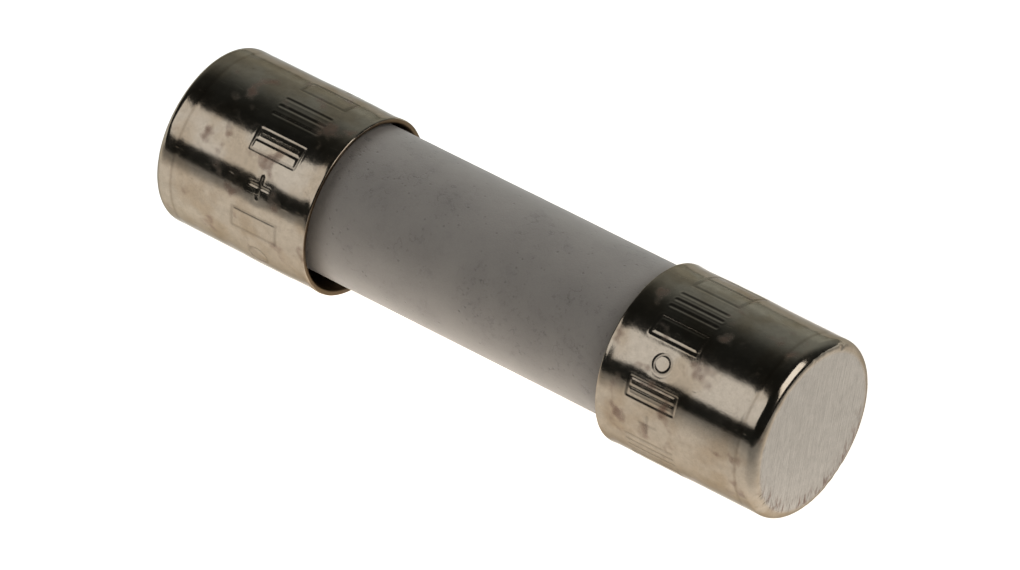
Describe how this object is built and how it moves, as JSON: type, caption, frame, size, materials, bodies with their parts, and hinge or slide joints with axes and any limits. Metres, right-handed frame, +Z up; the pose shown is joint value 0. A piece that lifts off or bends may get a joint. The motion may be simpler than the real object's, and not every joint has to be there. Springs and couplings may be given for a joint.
{
  "type": "cartridge fuse",
  "caption": "Small cartridge fuse: ceramic tube filled with sand round a wound fuse wire, closed by nickel-plated metal end caps with stamped marks.",
  "frame": {"origin": "the middle of the fuse, on the axis of its end caps", "axes": "+X along the fuse towards end cap b, +Y across it, +Z up"},
  "size_m": [0.0202, 0.0052, 0.0052],
  "materials": {
    "nickel_plate": "bright nickel plate over drawn brass, slightly warm, with fine handling marks",
    "bisque_ceramic": "unglazed grey-white ceramic, matte, with fine dark specks",
    "solder": "dull tin solder with a flowed surface",
    "fibre_board": "red-brown vulcanised fibre, matte",
    "quartz_sand": "fine pale quartz grains",
    "tinned_wire": "tinned copper wire, satin",
    "glass_yarn": "white twisted glass yarn"
  },
  "bodies": {
    "root": {"end_cap_a": "nickel_plate", "end_cap_b": "nickel_plate", "ceramic_tube": "bisque_ceramic", "solder_a": "solder", "solder_b": "solder", "fibre_disc_a": "fibre_board", "fibre_disc_b": "fibre_board", "quartz_sand": "quartz_sand", "fuse_wire": "tinned_wire", "yarn_core": "glass_yarn"}
  },
  "joints": []
}
